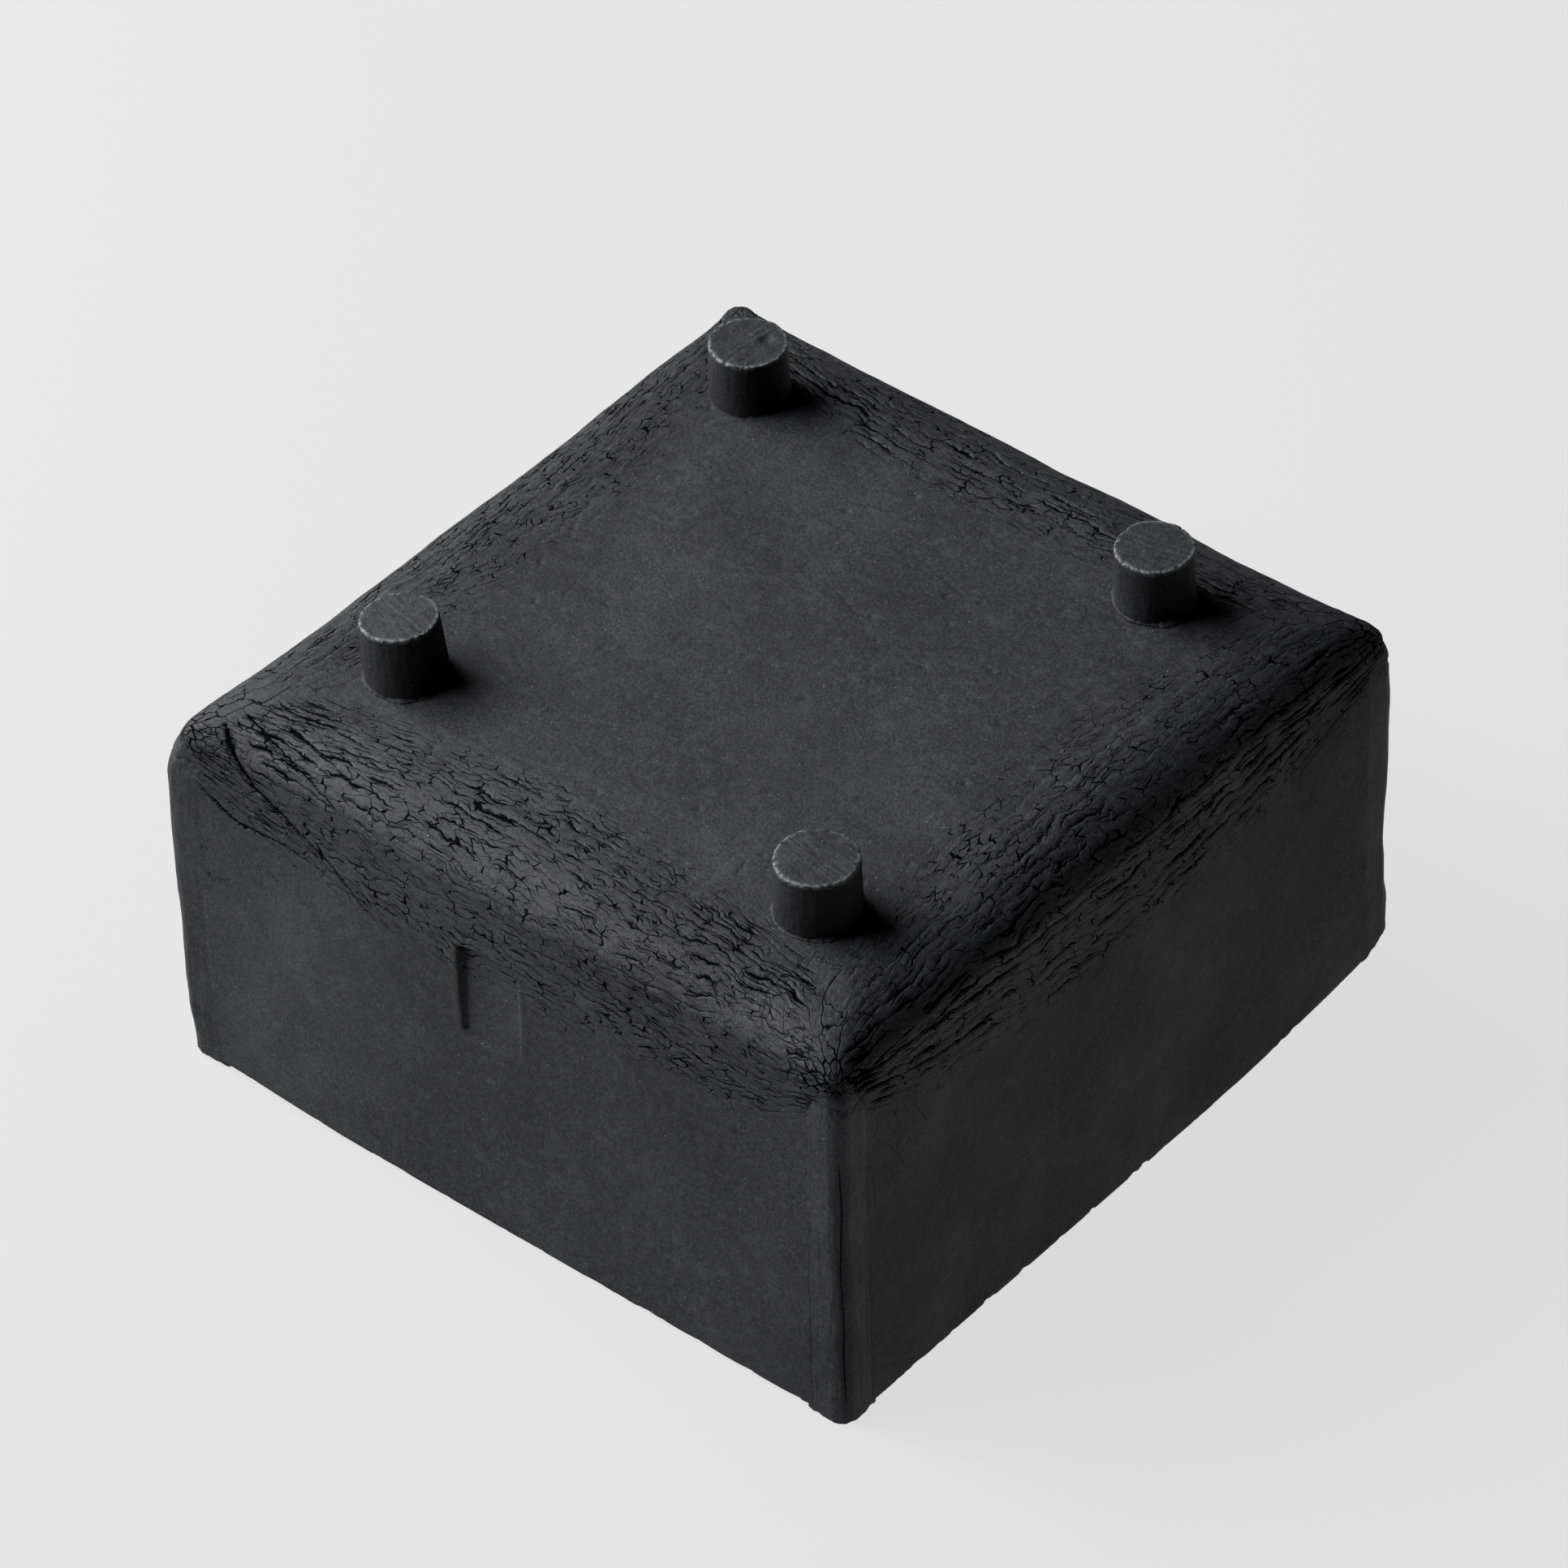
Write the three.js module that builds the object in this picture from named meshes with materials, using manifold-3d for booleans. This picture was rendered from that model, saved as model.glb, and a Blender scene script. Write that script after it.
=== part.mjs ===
// A small square bowl, slab-built in charcoal-black clay, standing upside down on its rim.
// Millimetres, +Z up. The origin is the centre of the rim, on the surface the bowl stands on.
// The four walls are flaps of one slab, folded down over a block; a strip of clay closes each
// upright corner, and four short cylindrical feet are stuck on the base with a bead of slip.
import * as THREE from 'three';
import { mergeVertices } from 'three/addons/utils/BufferGeometryUtils.js';
import Module from 'manifold-3d';

const wasm = await Module();
wasm.setup();

// Driving dimensions
const RIM_HALF = { x: 88.0, y: 90.0 };      // half the outside size at the rim
const BASE_HALF = { x: 86.9, y: 87.3 };     // half the outside size where the walls meet the bend
const BODY_HEIGHT = 97.6;                   // rim to the flat of the base
const SLAB = 8.0;                           // thickness of the clay slab
const BEND = { inset: 18.0, drop: 10.0 };   // the outer fold: how far in, and how far down, it runs
const INNER_BEND = { inset: 11.0, drop: 7.0 };
const CORNER_RADIUS = 4.0;                  // upright corners, outside
const INNER_CORNER_RADIUS = 5.0;            // upright corners, inside
const GAP = 0.3;                            // air between neighbouring pieces

const SEAM = {
  width: 9.0,                               // how much of each wall the corner strip covers
  top: 85.5,                                // height where the strip runs out under the fold
};

const SLIP = { width: 1.5, height: 1.1, clearance: 0.5 };

const FEET = {
  front: { at: [55.6, -55.5], base: 9.15, end: 8.8, height: 14.0, lean: 0 },
  left: { at: [-57.2, -52.2], base: 9.0, end: 8.3, height: 14.0, lean: -9.0 },
  right: { at: [48.8, 60.8], base: 8.5, end: 8.35, height: 13.9, lean: 0 },
  back: { at: [-60.1, 60.3], base: 8.85, end: 8.4, height: 13.7, lean: 0 },
};

// Which upright corner is which: the signs of x and y
const CORNERS = {
  front: [1, -1],
  left: [-1, -1],
  right: [1, 1],
  back: [-1, 1],
};

// ---------- joining and cutting ----------

function toSolid(geometry) {
  const bare = geometry.clone();
  bare.deleteAttribute('normal');
  bare.deleteAttribute('uv');
  const merged = mergeVertices(bare, 1e-4);
  return new wasm.Manifold(new wasm.Mesh({
    numProp: 3,
    vertProperties: new Float32Array(merged.attributes.position.array),
    triVerts: new Uint32Array(merged.index.array),
  }));
}

function toGeometry(solid) {
  const mesh = solid.getMesh();
  const geometry = new THREE.BufferGeometry();
  geometry.setAttribute('position', new THREE.BufferAttribute(new Float32Array(mesh.vertProperties), 3));
  geometry.setIndex(new THREE.BufferAttribute(new Uint32Array(mesh.triVerts), 1));
  geometry.computeVertexNormals();
  return geometry;
}

// ---------- shared shapes ----------

// One level ring of the body: a rectangle with rounded corners
function ringPoints(halfX, halfY, radius, z) {
  const shape = new THREE.Shape();
  shape.moveTo(halfX, -halfY + radius);
  shape.lineTo(halfX, halfY - radius);
  shape.absarc(halfX - radius, halfY - radius, radius, 0, Math.PI / 2, false);
  shape.lineTo(-halfX + radius, halfY);
  shape.absarc(-halfX + radius, halfY - radius, radius, Math.PI / 2, Math.PI, false);
  shape.lineTo(-halfX, -halfY + radius);
  shape.absarc(-halfX + radius, -halfY + radius, radius, Math.PI, 1.5 * Math.PI, false);
  shape.lineTo(halfX - radius, -halfY);
  shape.absarc(halfX - radius, -halfY + radius, radius, 1.5 * Math.PI, 2 * Math.PI, false);
  const points = shape.getPoints(6);
  const unique = points.filter((p, i) => i === 0 || p.distanceTo(points[i - 1]) > 1e-6);
  if (unique[0].distanceTo(unique[unique.length - 1]) < 1e-6) {
    unique.pop();
  }
  return unique.map((p) => new THREE.Vector3(p.x, p.y, z));
}

// A closed skin through a stack of rings, lowest first, with a flat cap at each end
function loft(rings) {
  const count = rings[0].length;
  const positions = rings.flat().flatMap((p) => [p.x, p.y, p.z]);
  const index = [];
  for (let level = 0; level < rings.length - 1; level += 1) {
    for (let i = 0; i < count; i += 1) {
      const a = level * count + i;
      const b = level * count + (i + 1) % count;
      index.push(a, b, b + count, a, b + count, a + count);
    }
  }
  const last = (rings.length - 1) * count;
  for (let i = 1; i < count - 1; i += 1) {
    index.push(0, i + 1, i);
    index.push(last, last + i, last + i + 1);
  }
  const geometry = new THREE.BufferGeometry();
  geometry.setAttribute('position', new THREE.Float32BufferAttribute(positions, 3));
  geometry.setIndex(index);
  return geometry;
}

// The block the slab wraps: sloping walls up to the fold, then a quarter ellipse on to the flat
function blockSolid(shrink, bend, radius, bottom, top) {
  const wallTop = top - bend.drop;
  const rings = [];
  const slope = (half, z) => {
    const t = Math.max(z, 0) / (BODY_HEIGHT - BEND.drop);
    return THREE.MathUtils.lerp(RIM_HALF[half], BASE_HALF[half], t) - shrink;
  };
  for (const z of [bottom, wallTop * 0.5, wallTop]) {
    rings.push(ringPoints(slope('x', z), slope('y', z), radius, z));
  }
  const steps = 8;
  for (let i = 1; i <= steps; i += 1) {
    const angle = (i / steps) * Math.PI / 2;
    const inset = bend.inset * (1 - Math.cos(angle));
    const z = wallTop + bend.drop * Math.sin(angle);
    rings.push(ringPoints(slope('x', wallTop) - inset, slope('y', wallTop) - inset, radius, z));
  }
  return toSolid(loft(rings));
}

function shellSolid() {
  const outside = blockSolid(0, BEND, CORNER_RADIUS, 0, BODY_HEIGHT);
  const inside = blockSolid(SLAB, INNER_BEND, INNER_CORNER_RADIUS, -5, BODY_HEIGHT - SLAB);
  return outside.subtract(inside);
}

// An upright slot across one corner, parallel to the diagonal through it
function cornerSlot([signX, signY], width, top) {
  const slot = new THREE.BoxGeometry(60, width * Math.SQRT2, top + 10);
  slot.translate(0, 0, top - (top + 10) / 2);
  slot.rotateZ(Math.atan2(signY, signX));
  slot.translate(signX * RIM_HALF.x, signY * RIM_HALF.y, 0);
  return toSolid(slot);
}

// ---------- materials ----------

function clay(colour, roughness) {
  return new THREE.MeshStandardMaterial({ color: colour, roughness, metalness: 0 });
}

const bodyClay = () => clay(0x2f3034, 0.72);
const seamClay = () => clay(0x2b2c31, 0.68);
const footClay = () => clay(0x2d2e32, 0.7);
const slipClay = () => clay(0x36373c, 0.78);

function piece(name, geometry, material) {
  const mesh = new THREE.Mesh(geometry, material);
  mesh.name = name;
  return mesh;
}

// ---------- pieces ----------

function foldedSlab() {
  let solid = shellSolid();
  for (const signs of Object.values(CORNERS)) {
    solid = solid.subtract(cornerSlot(signs, SEAM.width + GAP, SEAM.top + GAP));
  }
  return piece('folded_slab', toGeometry(solid), bodyClay());
}

function cornerSeam(name, signs) {
  const solid = shellSolid().intersect(cornerSlot(signs, SEAM.width, SEAM.top));
  return piece(`corner_seam_${name}`, toGeometry(solid), seamClay());
}

// A foot leans about its own base; whatever that pushes below the base surface is cut away
function foot(name, { base, end, height, lean }) {
  const root = 4;
  const cylinder = new THREE.CylinderGeometry(end, base, height + root, 48);
  cylinder.rotateX(Math.PI / 2);
  cylinder.translate(0, 0, (height - root) / 2);
  cylinder.rotateY(THREE.MathUtils.degToRad(lean));
  const below = new THREE.BoxGeometry(60, 60, 20);
  below.translate(0, 0, -10);
  return piece(`foot_${name}`, toGeometry(toSolid(cylinder).subtract(toSolid(below))), footClay());
}

// The bead of slip squeezed out around a foot: low, with a slope outside
function footSlip(name, { base }) {
  const inner = base + SLIP.clearance;
  const profile = [
    new THREE.Vector2(inner, 0),
    new THREE.Vector2(inner + SLIP.width, 0),
    new THREE.Vector2(inner + SLIP.width * 0.7, SLIP.height * 0.45),
    new THREE.Vector2(inner + SLIP.width * 0.3, SLIP.height * 0.9),
    new THREE.Vector2(inner, SLIP.height),
    new THREE.Vector2(inner, 0),
  ];
  const ring = new THREE.LatheGeometry(profile, 40);
  ring.rotateX(Math.PI / 2);
  return piece(`foot_slip_${name}`, toGeometry(toSolid(ring)), slipClay());
}

function footGroup(name, size) {
  const group = new THREE.Group();
  group.add(foot(name, size), footSlip(name, size));
  group.position.set(size.at[0], size.at[1], BODY_HEIGHT + GAP);
  return group;
}

const bowl = new THREE.Group();
bowl.name = 'footed_slab_bowl';
bowl.add(foldedSlab());
for (const [name, signs] of Object.entries(CORNERS)) {
  bowl.add(cornerSeam(name, signs));
}
for (const [name, size] of Object.entries(FEET)) {
  bowl.add(footGroup(name, size));
}

export default bowl;
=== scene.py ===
"""Looks for a small square slab-built bowl in charcoal-black clay, standing upside down on its rim.

Lengths inside the mesh functions are millimetres in the CAD frame; make_piece() turns them into metres.
The slab is one skin over the base, the folds and the walls. Where it was folded the clay tore into a net
of cracks that fan into the four upright corners. The tears are real grooves in the mesh; the hair cracks
between them, and the small plates at the corner points, are drawn by the material in flat cell coordinates.
The material darkens every crack towards black as painted shade.
"""
import math

import bpy
import numpy as np
from mathutils import Matrix, Vector


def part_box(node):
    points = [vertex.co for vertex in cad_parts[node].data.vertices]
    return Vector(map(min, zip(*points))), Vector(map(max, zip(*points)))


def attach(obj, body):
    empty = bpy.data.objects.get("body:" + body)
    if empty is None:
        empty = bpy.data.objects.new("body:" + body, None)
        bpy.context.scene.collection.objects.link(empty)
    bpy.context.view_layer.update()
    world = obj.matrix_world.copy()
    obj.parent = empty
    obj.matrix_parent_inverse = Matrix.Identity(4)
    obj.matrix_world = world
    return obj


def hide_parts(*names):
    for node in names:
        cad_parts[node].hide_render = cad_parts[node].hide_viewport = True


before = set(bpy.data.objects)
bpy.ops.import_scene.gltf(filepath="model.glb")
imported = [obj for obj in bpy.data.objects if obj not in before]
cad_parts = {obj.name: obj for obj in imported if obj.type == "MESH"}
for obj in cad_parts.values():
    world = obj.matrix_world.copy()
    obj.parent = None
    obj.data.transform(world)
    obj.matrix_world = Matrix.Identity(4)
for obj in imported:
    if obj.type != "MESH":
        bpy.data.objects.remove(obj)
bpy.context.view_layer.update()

MM = 0.001

# ---------------------------------------------------------------- driving sizes, in millimetres

SLAB_BOX = [[c / MM for c in corner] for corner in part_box("folded_slab")]
RIM_HALF = (SLAB_BOX[1][0], SLAB_BOX[1][1])
BODY_TOP = SLAB_BOX[1][2]
TOP_HALF = (RIM_HALF[0] - 0.9, RIM_HALF[1] - 2.4)
SLAB = 8.0
BEND_INSET = 17.0
BEND_DROP = 10.0
DOME = 0.3
DOME_REACH = 45.0
WALL_TOP = BODY_TOP - BEND_DROP
WALL_CORNER_RADIUS = 3.6
TOP_CORNER_RADIUS = 12.0
FINE_FROM = 50.0          # height where the fine, cracked band starts
FINE_TO = 34.0            # inset on the base where it ends
FINE_STEP = 0.37
COARSE_STEP = 0.9
COARSE_GAP = 0.8          # from the last fine ring to the grid that fills the base
SIDE_COUNT = 236          # coarse points along one side; the fine band has twice as many

INNER_CORNER_RADIUS = 5.0
INNER_BEND = (11.0, 7.0)  # inset and drop of the fold as seen from inside
CRACKED_TO = -60.0        # no crack reaches further down the wall from the fold than this
RIM_ARC = -150.0          # stands for the cut rim, below every place on the wall
INSIDE_ARC = -200.0       # stands for the hidden inside

SEAM_WIDTH = 9.0
SEAM_TOP = 86.0
SEAM_RECESS = 1.1
SEAM_REACH = SEAM_WIDTH + 0.6

SIDES = ((0, -1), (1, 0), (0, 1), (-1, 0))           # outward direction of each side, in ring order
CORNER_SIGNS = ((-1, -1), (1, -1), (1, 1), (-1, 1))  # the corner where each side starts
CORNER_NAMES = ("left", "front", "right", "back")


# ---------------------------------------------------------------- noise

def smoothstep(low, high, x):
    t = np.clip((x - low) / (high - low), 0.0, 1.0)
    return t * t * (3.0 - 2.0 * t)


class Noise:
    """Gradient noise and cell noise on a hashed lattice, the same on every run."""

    def __init__(self, seed):
        rng = np.random.RandomState(seed)
        self.table = rng.permutation(512).astype(np.int64)
        directions = rng.normal(size=(512, 3))
        self.gradients = directions / np.linalg.norm(directions, axis=1)[:, None]
        self.jitter = rng.uniform(0.0, 1.0, size=(512, 3))

    def hash(self, cell):
        h = self.table[cell[..., 0] & 511]
        h = self.table[(h + cell[..., 1]) & 511]
        return self.table[(h + cell[..., 2]) & 511]

    def __call__(self, points):
        """Smooth noise, about -0.7 to 0.7, with features one unit apart."""
        cell = np.floor(points).astype(np.int64)
        local = points - cell
        fade = local * local * local * (local * (local * 6.0 - 15.0) + 10.0)
        total = np.zeros(len(points))
        for corner in np.ndindex(2, 2, 2):
            offset = np.array(corner)
            gradient = self.gradients[self.hash(cell + offset)]
            value = np.einsum("ij,ij->i", gradient, local - offset)
            weight = np.prod(np.where(offset == 1, fade, 1.0 - fade), axis=1)
            total += weight * value
        return total * 1.5

    def octaves(self, points, count, gain=0.5):
        total = np.zeros(len(points))
        size = 1.0
        for octave in range(count):
            total += size * self(points * 2.0 ** octave + 17.3 * octave)
            size *= gain
        return total


swell = Noise(11)
rough = Noise(23)
tear = Noise(37)


# ---------------------------------------------------------------- the body's nominal surface

def half_sizes(z):
    t = np.clip(z / WALL_TOP, 0.0, 1.0)
    return tuple(rim + (top - rim) * t for rim, top in zip(RIM_HALF, TOP_HALF))


def ring_position(side, u, half_x, half_y, radius, z):
    """Points on one level ring. side 0..3, u -1..1 along it, so that the corners are shared."""
    out_x = np.choose(side, [d[0] for d in SIDES])
    out_y = np.choose(side, [d[1] for d in SIDES])
    level = np.where(out_x != 0, half_x, half_y)
    reach = np.where(out_x != 0, half_y, half_x)
    along = u * reach
    from_corner = reach - np.abs(along)
    turn = np.clip(1.0 - from_corner / np.maximum(radius, 1e-6), 0.0, 1.0) * math.pi / 4
    rounded = np.sign(u) * (reach - radius + radius * np.sin(turn))
    along = np.where(from_corner < radius, rounded, along)
    out = np.where(from_corner < radius, level - radius + radius * np.cos(turn), level)
    x = out_x * out - out_y * along
    y = out_y * out + out_x * along
    return np.stack([x, y, np.broadcast_to(z, x.shape)], axis=1)


def bell(distance, reach):
    return np.exp(-(distance / reach) ** 2)


def lean_and_lift(points):
    """The ways in which this hand-built body leaves a true square: bulged corners and a lifted rim."""
    x, y, z = points.T
    moved = points.copy()
    # the left corner flares out, mostly away from the stamped wall
    near_left = bell(np.hypot(x + RIM_HALF[0], y + RIM_HALF[1]), 20.0)
    height = 0.78 + 0.22 * smoothstep(0, 12, z) - 0.75 * smoothstep(76, 94, z)
    slope_back = np.clip(z / WALL_TOP, 0, 1)
    moved[:, 0] -= near_left * height * (4.2 + 2.4 * slope_back)
    moved[:, 1] -= near_left * height * (0.3 + 2.2 * slope_back)
    # the right corner is fuller under the fold
    near_right = bell(np.hypot(x - RIM_HALF[0], y - RIM_HALF[1]), 18.0)
    full = 0.5 + 1.4 * smoothstep(30, 80, z) - 1.6 * smoothstep(84, 97, z)
    moved[:, 0] += near_right * full * 1.0
    moved[:, 1] += near_right * full * 1.4
    # the rim does not touch the table near the right corner, and is nibbled at the left one
    low = 1.0 - smoothstep(0, 45, z)
    right_distance = np.hypot(x - RIM_HALF[0], y - RIM_HALF[1])
    moved[:, 2] += low * (3.0 * bell(right_distance, 40.0) + 4.8 * bell(right_distance, 7.0))
    moved[:, 2] += low * 0.9 * bell(np.hypot(x + RIM_HALF[0], y + RIM_HALF[1]), 30.0)
    moved[:, 2] += 2.4 * bell(np.hypot(x + TOP_HALF[0], y - TOP_HALF[1]), 6.0) * smoothstep(84, 92, z)
    # the walls flare a little towards the rim
    corner_distance = np.minimum(right_distance, np.hypot(x + RIM_HALF[0], y + RIM_HALF[1]))
    flare = 1.2 * (1.0 - smoothstep(0, 50, z)) * smoothstep(0, 45, corner_distance)
    moved[:, 0] *= 1 + flare / RIM_HALF[0]
    moved[:, 1] *= 1 + flare / RIM_HALF[1]
    return moved


def corner_radius(inset):
    grow = smoothstep(0.0, BEND_INSET + 6.0, inset)
    return WALL_CORNER_RADIUS + (TOP_CORNER_RADIUS - WALL_CORNER_RADIUS) * grow


def outer_surface(side, u, inset, z):
    half_x, half_y = half_sizes(z)
    radius = corner_radius(inset)
    return ring_position(side, u, half_x - inset, half_y - inset, radius, z)


def outer_profile():
    """Inset, z and arc from the rim over the fold to the base. Arc is 0 in the middle of the fold."""
    wall = np.linspace(0.0, WALL_TOP, 800)
    angle = np.linspace(0.0, math.pi / 2, 400)[1:]
    flat = np.linspace(BEND_INSET, FINE_TO, 200)[1:]
    inset = np.concatenate([np.zeros(len(wall)), BEND_INSET * (1 - np.cos(angle)), flat])
    z = np.concatenate([wall, WALL_TOP + BEND_DROP * np.sin(angle), np.full(len(flat), BODY_TOP)])
    z = z - DOME * (1 - smoothstep(0, DOME_REACH, inset)) * smoothstep(FINE_FROM, WALL_TOP, z)
    arc = np.concatenate([[0.0], np.cumsum(np.hypot(np.diff(inset), np.diff(z)))])
    middle = np.interp(WALL_TOP + BEND_DROP * math.sin(math.pi / 4), z[:1100], arc[:1100])
    return inset, z, arc - middle


# ---------------------------------------------------------------- building the skin

class Skin:
    """Collects rings of vertices and the faces between them."""

    def __init__(self):
        self.points = []
        self.side = []
        self.u = []
        self.arc = []
        self.inset = []
        self.outside = []
        self.faces = []
        self.count = 0

    def add(self, points, side, u, arc, inset, outside):
        start = self.count
        size = len(points)
        self.points.append(points)
        self.side.append(side)
        self.u.append(u)
        self.arc.append(np.broadcast_to(arc, size))
        self.inset.append(np.broadcast_to(inset, size))
        self.outside.append(np.full(size, outside))
        self.count += size
        return np.arange(start, start + size)

    def ring(self, per_side, place, arc, inset, outside):
        index = np.arange(4 * per_side)
        side = index // per_side
        u = -1.0 + 2.0 * (index % per_side) / per_side
        return self.add(place(side, u), side, u, arc, inset, outside)

    def bridge(self, low, high):
        """Faces between two rings; low is the one nearer the rim on the outside. 2:1 steps are allowed."""
        if len(low) == len(high):
            self.faces += [np.stack([low, np.roll(low, -1), np.roll(high, -1)], 1),
                           np.stack([low, np.roll(high, -1), high], 1)]
        elif len(high) == 2 * len(low):
            even, odd, after = high[0::2], high[1::2], np.roll(high[0::2], -1)
            following = np.roll(low, -1)
            self.faces += [np.stack([low, odd, even], 1),
                           np.stack([low, following, odd], 1),
                           np.stack([following, after, odd], 1)]
        else:
            even, odd, after = low[0::2], low[1::2], np.roll(low[0::2], -1)
            following = np.roll(high, -1)
            self.faces += [np.stack([high, even, odd], 1),
                           np.stack([high, odd, following], 1),
                           np.stack([following, odd, after], 1)]

    def cap(self, ring, place, arc_at_edge, inset_at_edge, span, outside, flip):
        """A square grid of points that fills the last ring."""
        n = len(ring) // 4
        grid = np.full((n + 1, n + 1), -1, dtype=np.int64)
        step = np.arange(n)
        grid[step, 0] = ring[step]
        grid[n, step] = ring[n + step]
        grid[n - step, n] = ring[2 * n + step]
        grid[0, n - step] = ring[3 * n + step]
        i, j = np.meshgrid(np.arange(1, n), np.arange(1, n), indexing="ij")
        a = (2.0 * i / n - 1.0).ravel()
        b = (2.0 * j / n - 1.0).ravel()
        m = np.maximum(np.abs(a), np.abs(b))
        safe = np.maximum(m, 1e-9)
        side = np.where(np.abs(b) >= np.abs(a), np.where(b < 0, 0, 2), np.where(a > 0, 1, 3))
        u = np.choose(side, [a / safe, b / safe, -a / safe, -b / safe])
        inset = inset_at_edge + (1.0 - m) * span
        arc = arc_at_edge + (1.0 - m) * span
        new = self.add(place(side, u, m), side, u, arc, inset, outside)
        grid[i.ravel(), j.ravel()] = new
        p, q, r, s = grid[:-1, :-1], grid[1:, :-1], grid[1:, 1:], grid[:-1, 1:]
        quads = [np.stack([p.ravel(), q.ravel(), r.ravel()], 1),
                 np.stack([p.ravel(), r.ravel(), s.ravel()], 1)]
        self.faces += [f[:, ::-1] for f in quads] if flip else quads

    def finish(self):
        for name in ("points", "side", "u", "arc", "inset", "outside"):
            setattr(self, name, np.concatenate(getattr(self, name)))
        self.faces = np.concatenate(self.faces)
        return self


def vertex_normals(points, faces):
    a, b, c = (points[faces[:, k]] for k in range(3))
    face = np.cross(b - a, c - a)
    normal = np.zeros_like(points)
    for k in range(3):
        for axis in range(3):
            normal[:, axis] += np.bincount(faces[:, k], face[:, axis], len(points))
    return normal / np.maximum(np.linalg.norm(normal, axis=1), 1e-12)[:, None]


def build_skin():
    skin = Skin()
    profile_inset, profile_z, profile_arc = outer_profile()

    def outer_place(inset, z):
        return lambda side, u: outer_surface(side, u, inset, z)

    def inner_place(inset, z):
        def place(side, u):
            half_x, half_y = half_sizes(z)
            return ring_position(side, u, half_x - inset, half_y - inset, INNER_CORNER_RADIUS, z)
        return place

    # inside, from the ceiling's edge down to the rim, coarse to fine
    ceiling = BODY_TOP - SLAB
    bend_in, bend_down = INNER_BEND
    inner = [(SLAB + bend_in * (1 - math.cos(t)), ceiling - bend_down * (1 - math.sin(t)))
             for t in np.linspace(math.pi / 2, 0.0, 7)]
    inner += [(SLAB, z) for z in np.linspace(ceiling - 12, 8, 20)]
    previous = None
    inner_edge = None
    for inset, z in inner:
        ring = skin.ring(SIDE_COUNT // 4, inner_place(inset, z), INSIDE_ARC, inset, False)
        if previous is None:
            inner_edge = (ring, inset, z)
        else:
            skin.bridge(previous, ring)
        previous = ring
    rim = [(SIDE_COUNT // 2, SLAB, 5.0), (SIDE_COUNT, SLAB, 2.6)]
    rim += [(SIDE_COUNT, inset, z) for inset, z in ((SLAB - 0.4, 1.0), (SLAB - 1.2, 0.25), (SLAB - 2.6, 0.0),
                                                    (4.0, 0.0), (2.4, 0.0), (1.2, 0.1), (0.45, 0.45))]
    for count, inset, z in rim:
        ring = skin.ring(count, inner_place(inset, z), RIM_ARC, inset, z < 2.0 and inset < 4.0)
        skin.bridge(previous, ring)
        previous = ring

    # outside, from the rim up
    arc_low = np.interp(FINE_FROM, profile_z[:800], profile_arc[:800])
    coarse_arcs = np.linspace(profile_arc[0] + 1.1, arc_low, int(FINE_FROM / COARSE_STEP))
    fine_count = int((profile_arc[-1] - arc_low) / FINE_STEP)
    fine_arcs = np.linspace(arc_low, profile_arc[-1], fine_count)[1:]
    for per_side, arcs in ((SIDE_COUNT, coarse_arcs), (2 * SIDE_COUNT, fine_arcs)):
        for arc in arcs:
            inset = np.interp(arc, profile_arc, profile_inset)
            z = np.interp(arc, profile_arc, profile_z)
            ring = skin.ring(per_side, outer_place(inset, z), arc, inset, True)
            skin.bridge(previous, ring)
            previous = ring
    edge = FINE_TO + COARSE_GAP
    edge_arc = fine_arcs[-1] + COARSE_GAP
    top_ring = skin.ring(SIDE_COUNT, outer_place(edge, z + 0.01), edge_arc, edge, True)
    skin.bridge(previous, top_ring)

    # the base: a grid inside the last ring
    half_x, half_y = half_sizes(BODY_TOP)

    def base_place(side, u, m):
        inset = edge + (1 - m) * (half_x - edge)
        z = BODY_TOP - DOME * (1 - smoothstep(0, DOME_REACH, inset))
        return ring_position(side, u, m * (half_x - edge), m * (half_y - edge), m * corner_radius(edge), z)

    skin.cap(top_ring, base_place, edge_arc, edge, half_x - edge, True, False)

    ring, inset, z = inner_edge
    inner_x, inner_y = half_sizes(z)

    def ceiling_place(side, u, m):
        reach_x, reach_y = m * (inner_x - inset), m * (inner_y - inset)
        return ring_position(side, u, reach_x, reach_y, m * INNER_CORNER_RADIUS, np.full(len(m), ceiling))

    skin.cap(ring, ceiling_place, INSIDE_ARC, inset, inner_x - inset, False, True)
    return skin.finish()


# ---------------------------------------------------------------- cracks

FAN_REACH = 24.0           # how far from a corner the cracks have spread to their full spacing
FAN_FLOOR = 0.22           # how much of that spacing is left at the corner, on the wall
TOP_FAN_FLOOR = 0.62       # and on the base
TIP_ARC = -7.0             # where on the fold the cracks of a corner come together
CRAZE_SPOKES = 4.3         # plates per radian round a corner point


# the longest tears at the left end of the stamped wall: half width, then places as x and arc, which is
# the distance from the middle of the fold, negative down the wall
LONG_TEARS = (
    (1.05, ((-79, -2), (-77, -4), (-73, -8), (-69, -12), (-59, -17), (-46, -24), (-36, -31))),
    (0.42, ((-82, -19), (-73, -24), (-62, -24), (-53, -25), (-38, -29))),
    (0.55, ((-77, 2), (-72, 1), (-52, -5), (-43, -8))),
    (0.50, ((-66, 4), (-56, 2), (-43, -1))),
)


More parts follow.
